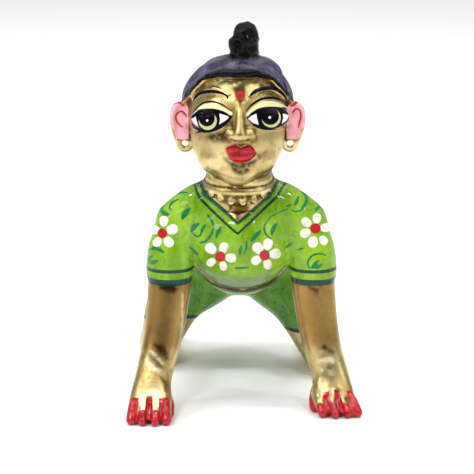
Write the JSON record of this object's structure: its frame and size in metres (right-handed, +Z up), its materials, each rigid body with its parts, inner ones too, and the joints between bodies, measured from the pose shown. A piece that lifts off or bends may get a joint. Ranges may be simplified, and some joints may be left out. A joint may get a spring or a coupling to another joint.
{
  "type": "crawling baby goddess figurine",
  "caption": "Small painted brass figurine of a crawling baby goddess on hands and knees, with a topknot, pierced ears, short sleeved blouse and bare feet.",
  "frame": {"origin": "on the floor plane, under the middle of the figure's box", "axes": "-Y the way the figure faces and crawls, +Z up, +X to the figure's left hand"},
  "size_m": [0.0602, 0.0802, 0.1],
  "materials": {
    "brass": "polished cast brass with brown patina in the hollows",
    "enamel": "hand-brushed glossy enamel paint over the brass"
  },
  "bodies": {
    "root": {"baby_radha_figure": "brass"}
  },
  "joints": []
}
